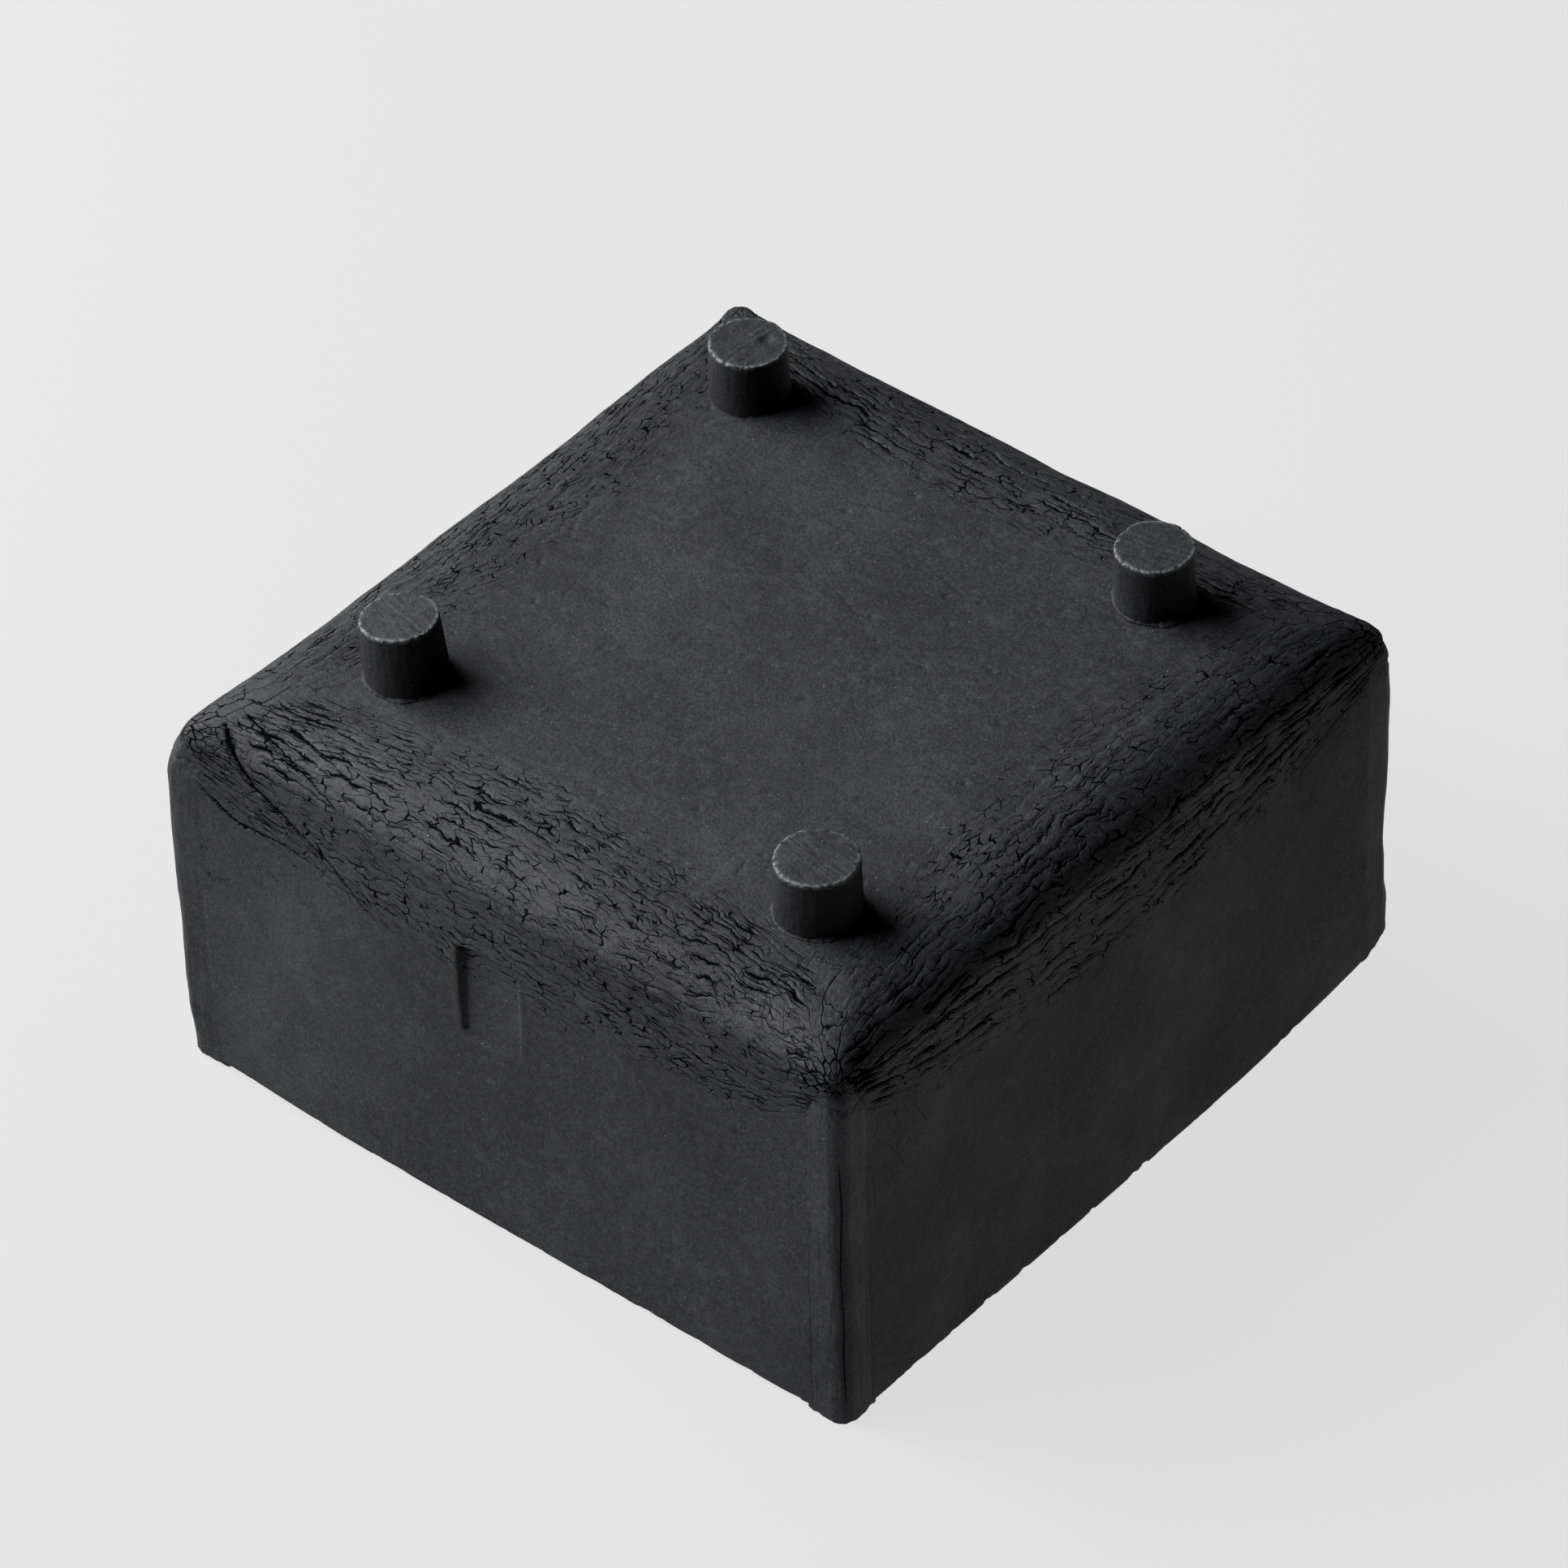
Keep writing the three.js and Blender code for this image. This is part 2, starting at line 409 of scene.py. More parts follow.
def long_tears(skin, points, distance, width):
    """Lays the longest tears over the others; each one is widest near its corner end."""
    place = np.stack([points[:, 0], skin.arc], 1)
    place += 0.34 * np.stack([rough.octaves(points / 1.9 + k, 2, 0.6) for k in (0.0, 50.0)], 1)
    stamped_wall = (skin.side == 0) & skin.outside & (skin.arc > CRACKED_TO)
    for half_width, line in LONG_TEARS:
        line = np.array(line, dtype=float)
        total = len(line) - 1
        for number, (start, end) in enumerate(zip(line[:-1], line[1:])):
            step = end - start
            rel = place - start
            t = np.clip(rel @ step / (step @ step), 0.0, 1.0)
            gap = np.linalg.norm(rel - t[:, None] * step, axis=1)
            signed = gap * np.sign(step[0] * rel[:, 1] - step[1] * rel[:, 0])
            run = (number + t) / total
            here = half_width * np.clip(run / 0.12, 0.35, 1) * (0.12 + 0.88 * (1 - run) ** 1.2)
            here = here * (0.75 + 0.5 * tear(points / 4.0 + 60.0)) - 0.04
            nearer = stamped_wall & (gap - here < np.minimum(np.abs(distance) - width, 0.5))
            distance = np.where(nearer, signed, distance)
            width = np.where(nearer, here, width)
    return distance, width


def tear_lines(noise, phase, spacing, place_along, layer, length):
    """Signed distance to wavy lines at whole phases, and how open each line is at each place along it."""
    line = np.round(phase)
    opening = noise(np.stack([place_along / length + 7.7 * line, 1.37 * line, layer * 3.3], 1))
    opening = smoothstep(-0.30, 0.30, opening) * (0.65 + 0.35 * np.sin(12.9 * line + 3.0 * layer))
    return np.sin(math.pi * phase) * spacing / math.pi, opening


def crack_fields(skin, points):
    half = np.maximum(np.where(skin.side % 2 == 0, RIM_HALF[0], RIM_HALF[1]) - skin.inset, 0.0)
    along = half * (1.0 - np.abs(skin.u))
    place_along = half * skin.u
    from_tip = skin.arc - TIP_ARC
    floor = np.where(from_tip < 0, FAN_FLOOR, TOP_FAN_FLOOR)
    spread = floor + (1.0 - floor) * (1.0 - np.exp(-along / FAN_REACH))
    across = TIP_ARC + from_tip / spread

    wobble = swell.octaves(points / 9.0, 2)
    jag = rough.octaves(points / 1.8 + 5.0, 2, 0.6)
    bent = across + (1.5 * wobble + 0.50 * jag) * np.sqrt(spread)
    hump = half * (1.0 - skin.u ** 2) / 2

    # the clay tore from mid-wall height to well in on the base, most of all on the fold itself
    band = smoothstep(-40, -20, across) * (1 - smoothstep(13, 31, across))
    band *= skin.outside & (skin.arc > CRACKED_TO)
    patch = swell.octaves(points / 15.0 + 40.0, 2)
    open_here = np.clip(band * (0.95 + 0.9 * patch), 0.0, 1.25)
    left_wall = ((skin.side == 0) & (skin.u < 0.1)) * bell(along - 20.0, 24.0) * bell(across + 12.0, 11.0)
    near_corner = bell(along, 26.0)
    off_diagonal = smoothstep(0.5, 8.0, along + 3.5 * patch) * smoothstep(0.2, 0.45, spread)

    # two sets of tears, at a slight angle to each other
    spacing = 3.3
    phase = (bent + 0.10 * hump) / spacing
    major_d, opening = tear_lines(tear, phase, spacing * spread, place_along, skin.side, 9.0)
    major_w = (0.25 + 0.10 * near_corner + 0.22 * left_wall) * opening * open_here * off_diagonal - 0.05
    major_d, major_w = long_tears(skin, points, major_d, major_w)
    spacing = 2.1
    phase = (bent + 0.5 * swell(points / 4.0 + 9.0) - 0.16 * hump) / spacing
    minor_d, opening = tear_lines(rough, phase, spacing * spread, place_along, skin.side, 5.0)
    minor_w = 0.20 * opening * np.clip(open_here * 1.2, 0, 1.1) * off_diagonal - 0.05

    # hair cracks: the walls of small cells, drawn by the material in these coordinates as lines of painted
    # shade
    fine_open = rough.octaves(points / 3.2 + 77.0, 2)
    fine_w = np.clip(band * 1.4, 0, 1) * off_diagonal * (0.036 + 0.09 * fine_open) - 0.024
    fine = np.stack([(place_along + 0.9 * rough(points / 2.4 + 31.0)) / 4.6,
                     (bent + 0.10 * place_along) / 1.45 + 37.0 * skin.side, fine_w], 1)

    # round each corner point the tears become a net of small plates that grow away from it
    craze = np.full((len(points), 3), (0.0, 0.0, -0.3))
    lumps = np.zeros(len(points))
    for number, (sign_x, sign_y) in enumerate(CORNER_SIGNS):
        offset = points - corner_tip(sign_x, sign_y)
        distance = np.linalg.norm(offset, axis=1)
        near = (distance < 36.0) & skin.outside
        offset, distance = offset[near], distance[near]
        sideways = (offset[:, 0] * sign_x - offset[:, 1] * sign_y) / math.sqrt(2)
        upward = 0.6 * offset[:, 2] - 0.8 * (offset[:, 0] * sign_x + offset[:, 1] * sign_y) / math.sqrt(2)
        angle = np.arctan2(sideways, upward)
        shift = 0.16 * rough.octaves(points[near] / 1.5, 2)
        diagonal = bell(along[near], 8.0) * (1 - smoothstep(19.0, 34.0, distance))
        reach = 1 - smoothstep(6.0, 18.0 + 6.0 * swell(points[near] / 5.0), distance)
        reach = np.maximum(reach, 0.75 * diagonal)
        reach *= smoothstep(-2.5, 1.0, offset[:, 2])
        width = reach * (0.15 + 0.13 * rough(points[near] / 2.6 + 3.0)) - 0.03
        size = (distance + 2.0) / CRAZE_SPOKES
        craze[near, 0] = 0.62 * CRAZE_SPOKES * np.log(distance + 2.0) + shift + 50.0 * number
        craze[near, 1] = CRAZE_SPOKES * angle + shift
        craze[near, 2] = width / size
        lumps[near] = reach * 0.16 * rough.octaves(points[near] / 1.6 + 8.0, 2) - 1.0 * bell(distance, 1.6)
    return {"major": (major_d, major_w), "minor": (minor_d, minor_w), "fine": fine, "craze": craze,
            "lumps": lumps, "open": open_here * off_diagonal}


def corner_tip(sign_x, sign_y):
    point = np.array([[sign_x * (TOP_HALF[0] - 1.6), sign_y * (TOP_HALF[1] - 1.6), BODY_TOP - 10.5]])
    return lean_and_lift(point)[0]


FULL_DEPTH_WIDTH = 0.30    # half width from which a crack has its full depth


def groove(distance, width, depth, shoulder):
    """Depth profile of a crack: full depth inside its half width, with a short shoulder outside it."""
    size = np.clip(width, 0.0, None)
    beyond = (np.abs(distance) - 0.4 * size) / (size + shoulder)
    return -depth * np.clip(size / FULL_DEPTH_WIDTH, 0, 1) * (1 - smoothstep(0, 1, beyond))


# ---------------------------------------------------------------- small marks on the body

STAMP = {"centre": (-5.2, 61.0), "half": (8.0, 12.2), "turn": math.radians(1.5), "depth": 1.5}


def stamp_relief(points):
    """A plain rounded rectangle pressed into the wall, deeper at its left and top edges."""
    x, y, z = points.T
    dx, dz = x - STAMP["centre"][0], z - STAMP["centre"][1]
    c, s = math.cos(STAMP["turn"]), math.sin(STAMP["turn"])
    a, b = c * dx + s * dz, -s * dx + c * dz
    qx = np.abs(a) - STAMP["half"][0] + 2.2
    qz = np.abs(b) - STAMP["half"][1] + 2.2
    outside = np.hypot(np.maximum(qx, 0), np.maximum(qz, 0)) + np.minimum(np.maximum(qx, qz), 0) - 2.2
    inside = 1 - smoothstep(-0.5, 0.15, outside)
    tilt = np.clip(0.62 - a / 30.0 + b / 40.0, 0.1, 1.2)
    lip = 0.12 * bell(outside - 0.9, 0.9)
    on_wall = (y < 0) & (np.abs(y) > RIM_HALF[1] - 8)
    return np.where(on_wall, -STAMP["depth"] * inside * tilt + lip, 0.0)


def scratches(points, rng):
    """Short shallow scratches and pits on the base."""
    relief = np.zeros(len(points))
    top = points[:, 2] > BODY_TOP - 3
    flat = points[top][:, :2]
    shallow = np.zeros(len(flat))
    for _ in range(26):
        start = rng.uniform(-60, 60, 2)
        heading = rng.uniform(0, math.pi)
        length = rng.uniform(2.0, 8.0)
        direction = np.array([math.cos(heading), math.sin(heading)])
        rel = flat - start
        t = np.clip(rel @ direction, 0, length)
        distance = np.linalg.norm(rel - t[:, None] * direction, axis=1)
        shallow -= rng.uniform(0.06, 0.16) * bell(distance, rng.uniform(0.35, 0.6))
    for _ in range(60):
        centre = rng.uniform(-70, 70, 2)
        distance = np.linalg.norm(flat - centre, axis=1)
        shallow -= rng.uniform(0.1, 0.35) * bell(distance, rng.uniform(0.4, 0.9))
    relief[top] = shallow
    return relief


def foot_centres():
    centres = {}
    for name in CORNER_NAMES:
        low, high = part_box("foot_slip_" + name)
        centres[name] = np.array([(low[0] + high[0]) / 2, (low[1] + high[1]) / 2]) / MM
    return centres


def seam_recess(skin, points):
    """The body is set back under each corner strip, so that the strip has a bed to sit in."""
    half = np.where(skin.side % 2 == 0, RIM_HALF[0], RIM_HALF[1])
    from_corner = half * (1 - np.abs(skin.u))
    inside = 1 - smoothstep(SEAM_WIDTH - 2.4, SEAM_WIDTH - 0.9, from_corner)
    inside *= 1 - smoothstep(SEAM_TOP - 4.0, SEAM_TOP - 2.0, points[:, 2])
    return inside * skin.outside * (skin.arc > RIM_ARC)


def wall_swell(points):
    """Slow unevenness from hands and a soft slab."""
    return 0.55 * swell.octaves(points / 34.0 + 3.0, 2) + 0.07 * rough.octaves(points / 5.0, 2)


def build_body():
    skin = build_skin()
    points = lean_and_lift(skin.points)
    normals = vertex_normals(points, skin.faces)
    fields = crack_fields(skin, points)
    outside = skin.outside.astype(float)

    relief = wall_swell(points) * (0.35 + 0.65 * outside)
    relief *= smoothstep(0.0, 6.0, points[:, 2])
    for name, size in (("major", 0.10), ("minor", 0.06)):
        distance = fields[name][0]
        relief += outside * fields["open"] * size * (np.abs(distance) + 0.5 * distance)
    relief += outside * groove(*fields["major"], 0.7, 0.20)
    relief += outside * groove(*fields["minor"], 0.35, 0.18)
    relief += fields["lumps"]
    relief += outside * stamp_relief(points)
    relief += outside * scratches(points, np.random.RandomState(5))
    recess = seam_recess(skin, points)
    relief = relief * (1 - recess) - SEAM_RECESS * recess

    # paler clay low on the left of the stamped wall and along its fold: partly dust, partly painted light
    # falling from the left
    x, y, z = points.T
    dust_and_painted_light = bell(np.hypot(x + 66.0, (z - 34.0) * 0.8), 34.0) * (y < -60) * (0.75 + 0.6 * swell(points / 11.0))
    dust_and_painted_light += 0.5 * bell(np.hypot(x + 22.0, (z - 92.0) * 1.6), 34.0) * (y < -60)
    moved = points + normals * relief[:, None]
    # the cut rim: clean on the stamped wall, torn and nicked on its right-hand neighbour
    ragged = np.where(x > RIM_HALF[0] - 12, 1.0, 0.3)
    nick = np.clip(rough.octaves(np.stack([x / 4.0, y / 4.0, z * 0 + 3.3], 1), 3, 0.6) - 0.12, 0, 1)
    moved[:, 2] += (1 - smoothstep(0, 4.5, z)) * nick * ragged * 1.5
    along_rim = swell(np.stack([x / 12.0, y / 12.0, z * 0 + 8.1], 1))
    moved[:, 2] += (1 - smoothstep(0, 9, z)) * np.clip(along_rim - 0.1, 0, 1) * 0.6
    moved[:, 2] = np.maximum(moved[:, 2], 0.0)

    marks = {
        "crack_major": np.stack([*fields["major"], np.zeros(len(points))], 1),
        "crack_minor": np.stack([*fields["minor"], np.zeros(len(points))], 1),
        "cells_fine": fields["fine"],
        "cells_craze": fields["craze"],
        "dust_and_painted_light": np.clip(dust_and_painted_light, 0.0, 1.0),
    }
    return moved, skin.faces, marks


# ---------------------------------------------------------------- corner strips

def build_seam(corner):
    """One strip of clay drawn down an upright corner: a shallow L in section, closed all round."""
    columns = 61
    rows = 190
    across = np.linspace(-SEAM_REACH, SEAM_REACH, columns)
    height = np.linspace(0.0, SEAM_TOP, rows)
    a, z = (g.ravel() for g in np.meshgrid(across, height, indexing="ij"))
    seed_shift = 13.0 * corner
    a = a * (1 + 0.06 * swell(np.stack([z / 9.0, np.sign(a) * 3.0 + seed_shift, z * 0], 1)))
    before = (corner - 1) % 4
    side = np.where(a < 0, before, corner)
    half = np.where(side % 2 == 0, RIM_HALF[0], RIM_HALF[1])
    half_x, half_y = half_sizes(z)
    length = np.where(side % 2 == 0, half_x, half_y)
    u = np.where(a < 0, 1.0, -1.0) * (1 - np.abs(a) / np.where(a == 0, half, length))
    skin_points = lean_and_lift(outer_surface(side, u, 0.0, z))
    inner_points = lean_and_lift(ring_position(side, u, half_x - 1.3, half_y - 1.3, 3.0, z))
    normal = skin_points - inner_points
    normal /= np.linalg.norm(normal, axis=1)[:, None]

    edge = np.clip(np.abs(a) / SEAM_REACH, 0, 1)
    proud = 0.12 * (1 - edge ** 4) - 0.35 * smoothstep(0.84, 1.0, edge)
    sway = 1.6 * swell(np.stack([z / 22.0, z * 0 + seed_shift, z * 0 + 5.0], 1))
    drawn = rough.octaves(np.stack([(a + sway) / 1.9 + seed_shift, z / 21.0, z * 0 + seed_shift], 1), 3, 0.6)
    broad = swell.octaves(np.stack([a / 6.0, z / 14.0, z * 0 + seed_shift], 1), 2)
    proud = proud + 0.10 * drawn + 0.30 * broad * (1 - edge)
    line_at = 0.2 + 0.5 * swell(np.stack([z / 16.0, z * 0 + seed_shift, z * 0], 1))
    line = (1 - smoothstep(66, 72, z)) * smoothstep(3, 10, z)
    line_distance = a - line_at
    proud -= 0.40 * line * bell(line_distance, 0.36)
    tip = smoothstep(SEAM_TOP - 9.0, SEAM_TOP, z)
    proud += tip * (0.5 * rough.octaves(np.stack([a / 1.6, z / 1.6, z * 0 + seed_shift], 1), 2) - 0.9 * tip)
    proud += wall_swell(skin_points) * smoothstep(0.0, 6.0, z)

    outer = skin_points + normal * proud[:, None]
    inner = inner_points + normal * np.minimum(proud - 0.4, 0.0)[:, None]
    nick = rough(np.stack([a / 3.0 + seed_shift, z * 0, z * 0], 1))
    lift = (1 - smoothstep(0, 4.0, z)) * np.clip(nick, 0, 1)
    for points in (outer, inner):
        points[:, 2] += lift * 1.6
        points[:, 2] = np.maximum(points[:, 2], 0.0)

    index = np.arange(columns * rows).reshape(columns, rows)
    p, q, r, s = index[:-1, :-1], index[1:, :-1], index[1:, 1:], index[:-1, 1:]
    front = np.concatenate([np.stack([p, q, r], -1).reshape(-1, 3), np.stack([p, r, s], -1).reshape(-1, 3)])
    back = front[:, ::-1] + columns * rows
    rim = np.concatenate([index[:, 0], index[-1, 1:], index[-2::-1, -1], index[0, -2:0:-1]])
    following = np.roll(rim, -1)
    lower = columns * rows
    side_faces = np.concatenate([np.stack([rim, rim + lower, following], 1),
                                 np.stack([following, rim + lower, following + lower], 1)])
    faces = np.concatenate([front, back, side_faces])
    points = np.concatenate([outer, inner])
    # the line drawn down the strip is a crack mark, darkened by the material as painted shade
    distance = np.concatenate([line_distance, np.full(len(a), 5.0)])
    width = np.concatenate([0.13 * line - 0.05, np.full(len(a), -0.3)])
    return points, faces, {"crack_major": np.stack([distance, width, np.zeros(len(width))], 1)}


# ---------------------------------------------------------------- feet and slip

def lathe_faces(rows, turns):
    index = np.arange(rows * turns).reshape(rows, turns)
    a, b = index[:-1], index[1:]
    quads = [np.stack([a, np.roll(a, -1, 1), np.roll(b, -1, 1)], -1).reshape(-1, 3),
             np.stack([a, np.roll(b, -1, 1), b], -1).reshape(-1, 3)]
    return np.concatenate(quads)


def build_foot(name, seed):
    low, high = (np.array(c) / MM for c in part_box("foot_" + name))
    base_x, base_y = foot_centres()[name]
    lean = ((low[0] + high[0]) / 2 - base_x) * 2 / (high[2] - low[2])
    lean = lean if abs(lean) > 0.02 else 0.0
    slip_low, slip_high = (np.array(c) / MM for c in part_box("foot_slip_" + name))
    base_radius = (slip_high[0] - slip_low[0]) / 2 - 2.0
    taper = {"left": 0.92, "front": 0.96, "right": 0.98, "back": 0.95}[name]
    height = high[2] - low[2] - abs(lean) * base_radius
    turns = 160
    bevel = 0.35
    rng = np.random.RandomState(seed)
    sink = 1.0
    side_levels = np.linspace(-sink, height - bevel, 34)
    profile = [(0.0, -sink, 0), (base_radius * 0.6, -sink, 0)]
    profile += [(base_radius * (1 - (1 - taper) * max(z, 0) / height), z, 1) for z in side_levels]
    end_radius = base_radius * taper
    profile += [(end_radius - bevel * (1 - math.cos(t)), height - bevel + bevel * math.sin(t), 1)
                for t in np.linspace(0, math.pi / 2, 5)[1:]]
    end_rings = (0.93, 0.88, 0.82, 0.76, 0.7, 0.62, 0.54, 0.46, 0.38, 0.3, 0.22, 0.14, 0.06)
    profile += [(end_radius * part, height, 2) for part in end_rings]
    radius = np.array([p[0] for p in profile])[:, None]
    z = np.array([p[1] for p in profile])[:, None]
    kind = np.array([p[2] for p in profile])[:, None]
    angle = np.linspace(0, 2 * math.pi, turns, endpoint=False)[None, :]
    shift = 31.0 * seed
    x, y, z = (np.broadcast_to(v, (len(profile), turns)).ravel()
               for v in (radius * np.cos(angle), radius * np.sin(angle), z + 0 * angle))
    kind = np.broadcast_to(kind, (len(profile), turns)).ravel()
    flat_radius = np.hypot(x, y)
    unit = np.stack([x, y], 1) / np.maximum(flat_radius, 1e-6)[:, None]
    body = np.stack([x, y, z], 1)
    # hand-cut: not quite round, faint facets down the side, a cut end with drag marks
    round_error = 0.22 * swell(np.stack([unit[:, 0] * 1.3 + shift, unit[:, 1] * 1.3, z / 30.0], 1))
    drag = 0.07 * rough.octaves(np.stack([unit[:, 0] * 7.0 + shift, unit[:, 1] * 7.0, z / 7.0], 1), 3, 0.6)
    change = (round_error + drag) * np.clip(flat_radius / base_radius, 0, 1)
    body[:, :2] += unit * change[:, None]
    heading = rng.uniform(0, math.pi)
    stroke = x * math.cos(heading) + y * math.sin(heading)
    end = kind == 2
    end_marks = 0.10 * rough.octaves(np.stack([stroke / 0.9 + shift, (y - x) / 14.0, z * 0], 1), 2)
    end_marks += 0.22 * swell(np.stack([x / 6.0 + shift, y / 6.0, z * 0], 1))
    near_end = smoothstep(height - 1.2, height, z)
    body[:, 2] += end_marks * near_end
    round_edge = np.stack([unit[:, 0] * 5.0 + shift, unit[:, 1] * 5.0, z * 0 + 4], 1)
    chip = np.clip(rough.octaves(round_edge, 2) - 0.25, 0, 1)
    at_edge = bell(flat_radius - end_radius, 0.5) * near_end
    body[:, 2] -= chip * at_edge * 1.1
    if name == "back":
        pit = bell(np.hypot(x - 2.5, y - 3.0), 1.3)
        body[:, 2] -= 0.9 * pit * end
    # lean about the base
    body[:, 0] += lean * np.maximum(z, 0)
    body[:, 2] -= lean * x * smoothstep(0, height, z)
    body += np.array([base_x, base_y, BODY_TOP])
    faces = lathe_faces(len(profile), turns)
    top = np.arange(turns) + (len(profile) - 1) * turns
    centre_top = len(body)
    body = np.concatenate([body, [body[top].mean(0)]])
    cap = np.stack([top, np.roll(top, -1), np.full(turns, centre_top)], 1)
    faces = np.concatenate([faces, cap])
    # wear and painted highlight: the rim of each foot's cut end is marked to be lightened by the material
    edge_wear_and_highlight = np.concatenate([at_edge, [0.0]])
    # painted shade: the side of each foot is marked to be darkened by the material
    side_shade = np.concatenate([np.where(kind == 1, 1.0, 0.0), [0.0]])
    return body, faces, {"edge": edge_wear_and_highlight, "painted_flank_shade": side_shade}


def build_slip(name, seed):
    """The bead of slip squeezed out around a foot, smeared on to the base."""
    low, high = (np.array(c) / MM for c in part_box("foot_slip_" + name))
    centre = foot_centres()[name]
    inner = (high[0] - low[0]) / 2 - 2.0
    turns = 180
    shift = 19.0 * seed
    angle = np.linspace(0, 2 * math.pi, turns, endpoint=False)
    unit = np.stack([np.cos(angle), np.sin(angle)], 1)
    swing = swell(np.stack([unit[:, 0] * 1.6 + shift, unit[:, 1] * 1.6, angle * 0], 1))
    fine = rough.octaves(np.stack([unit[:, 0] * 7.0 + shift, unit[:, 1] * 7.0, angle * 0], 1), 3, 0.6)
    width = np.clip(0.45 + 0.6 * swing + 0.35 * fine, 0.15, 1.4)
    height = np.clip(0.4 + 0.3 * swing + 0.25 * fine, 0.12, 0.8)
    section = [(-1.2, -0.8), (-1.0, 0.0), (-0.25, 0.92), (0.0, 1.0), (0.12, 0.93), (0.25, 0.72), (0.45, 0.45),
               (0.7, 0.2), (0.9, 0.06), (1.1, -0.1), (1.15, -0.8)]
    rings = []
    for out, up in section:
        radius = inner + np.where(out < 0, out, out * width)
        z = np.where(up < 0, up, up * height)
        rings.append(np.stack([unit[:, 0] * radius, unit[:, 1] * radius, z], 1))
    points = np.concatenate(rings) + np.array([centre[0], centre[1], BODY_TOP])
    index = np.arange(len(section) * turns).reshape(len(section), turns)
    a, b = index, np.roll(index, -1, 0)
    faces = np.concatenate([np.stack([a, b, np.roll(b, -1, 1)], -1).reshape(-1, 3),
                            np.stack([a, np.roll(b, -1, 1), np.roll(a, -1, 1)], -1).reshape(-1, 3)])
    return points, faces, {}


# ---------------------------------------------------------------- materials

class Nodes:
    """A small helper that adds and links shader nodes."""

    def __init__(self, name):
        self.material = bpy.data.materials.new(name)
        self.material.use_nodes = True
        self.tree = self.material.node_tree
        self.shader = self.tree.nodes["Principled BSDF"]
        coordinates = self.tree.nodes.new("ShaderNodeTexCoord")
        self.place = coordinates.outputs["Object"]

    def link(self, source, target):
        self.tree.links.new(source, target)

    def feed(self, node, index, value):
        if isinstance(value, bpy.types.NodeSocket):
            self.link(value, node.inputs[index])
        elif value is not None:
            node.inputs[index].default_value = value

    def math(self, operation, a, b=None, c=None, clamp=False):
        node = self.tree.nodes.new("ShaderNodeMath")
        node.operation = operation
        node.use_clamp = clamp
        for index, value in enumerate((a, b, c)):
            self.feed(node, index, value)
        return node.outputs[0]

    def ramp(self, value, low, high, out_low=0.0, out_high=1.0):
        node = self.tree.nodes.new("ShaderNodeMapRange")
        node.interpolation_type = "SMOOTHSTEP"
        self.feed(node, 0, value)
        for index, number in ((1, low), (2, high), (3, out_low), (4, out_high)):
            node.inputs[index].default_value = number
        return node.outputs[0]

    def noise(self, size_mm, detail=3.0, roughness=0.5, stretch=None, distortion=0.0):
        node = self.tree.nodes.new("ShaderNodeTexNoise")
        node.inputs["Scale"].default_value = 1.0 / (size_mm * MM)
        node.inputs["Detail"].default_value = detail
        node.inputs["Roughness"].default_value = roughness
        node.inputs["Distortion"].default_value = distortion
        self.link(self.stretched(stretch), node.inputs["Vector"])
        return node.outputs["Fac"]

    def specks(self, size_mm):
        node = self.tree.nodes.new("ShaderNodeTexVoronoi")
        node.inputs["Scale"].default_value = 1.0 / (size_mm * MM)
        self.link(self.place, node.inputs["Vector"])
        return node.outputs["Distance"], node.outputs["Color"]

    def stretched(self, stretch):
        if stretch is None:
            return self.place
        node = self.tree.nodes.new("ShaderNodeMapping")
        node.inputs["Scale"].default_value = stretch
        self.link(self.place, node.inputs["Vector"])
        return node.outputs[0]

    def mark(self, name):
        node = self.tree.nodes.new("ShaderNodeAttribute")
        node.attribute_name = name
        return node

    def parts(self, socket):
        node = self.tree.nodes.new("ShaderNodeSeparateXYZ")
        self.link(socket, node.inputs[0])
        return node.outputs

    def blend(self, factor, a, b):
        node = self.tree.nodes.new("ShaderNodeMix")
        node.data_type = "RGBA"
        self.feed(node, 0, factor)
        for index, colour in ((6, a), (7, b)):
            if isinstance(colour, bpy.types.NodeSocket):
                self.link(colour, node.inputs[index])
            else:
                node.inputs[index].default_value = (*colour, 1.0)
        return node.outputs[2]

    def bump(self, height, distance_mm, strength, normal=None):
        node = self.tree.nodes.new("ShaderNodeBump")
        node.inputs["Strength"].default_value = strength
        node.inputs["Distance"].default_value = distance_mm * MM
        self.link(height, node.inputs["Height"])
        if normal is not None:
            self.link(normal, node.inputs["Normal"])
        return node.outputs[0]


CLAY_DARK = (0.0055, 0.0056, 0.0068)
CLAY_LIGHT = (0.0180, 0.0184, 0.0216)
CLAY_PALE = (0.0400, 0.0410, 0.0465)
# near black: painted shade in the cracks and on the sides of the feet, and the colour of dark grog
SHADE_AND_GROG_BLACK = (0.0006, 0.0006, 0.0007)
GROG_PALE = (0.200, 0.205, 0.220)
WORN_EDGE_AND_HIGHLIGHT = (0.140, 0.145, 0.160)
SPECULAR = 0.20            # the clay is barely shiny, and not at all inside a crack


def crack_mask(nodes, name, jitter):
    # painted shade: this mask says where a tear is darkened by the material
    d, w, _ = nodes.parts(nodes.mark(name).outputs["Vector"])
    distance = nodes.math("ABSOLUTE", nodes.math("ADD", d, jitter))
    return nodes.ramp(nodes.math("SUBTRACT", distance, w), -0.05, 0.09, 1.0, 0.0)


